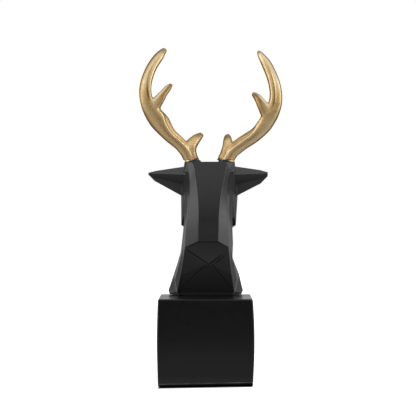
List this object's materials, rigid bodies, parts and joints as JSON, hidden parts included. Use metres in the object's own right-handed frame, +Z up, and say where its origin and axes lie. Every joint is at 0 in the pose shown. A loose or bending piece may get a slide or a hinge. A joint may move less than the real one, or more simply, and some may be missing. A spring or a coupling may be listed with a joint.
{
  "type": "geometric deer head figurine",
  "caption": "Faceted deer bust in satin black with gold antlers, standing on a square black block as a shelf ornament.",
  "frame": {"origin": "middle of the block's underside, on the surface that the figurine stands on", "axes": "+Z up, -Y the way the deer faces, +X the deer's left"},
  "size_m": [0.117, 0.1235, 0.2754],
  "materials": {
    "block_black": "satin black paint on cast resin",
    "bust_black": "satin black paint on cast resin",
    "antler_gold": "satin gold paint on cast resin"
  },
  "bodies": {
    "root": {"plinth": "block_black", "deer_bust": "bust_black", "antler_left": "antler_gold", "antler_right": "antler_gold"}
  },
  "joints": []
}
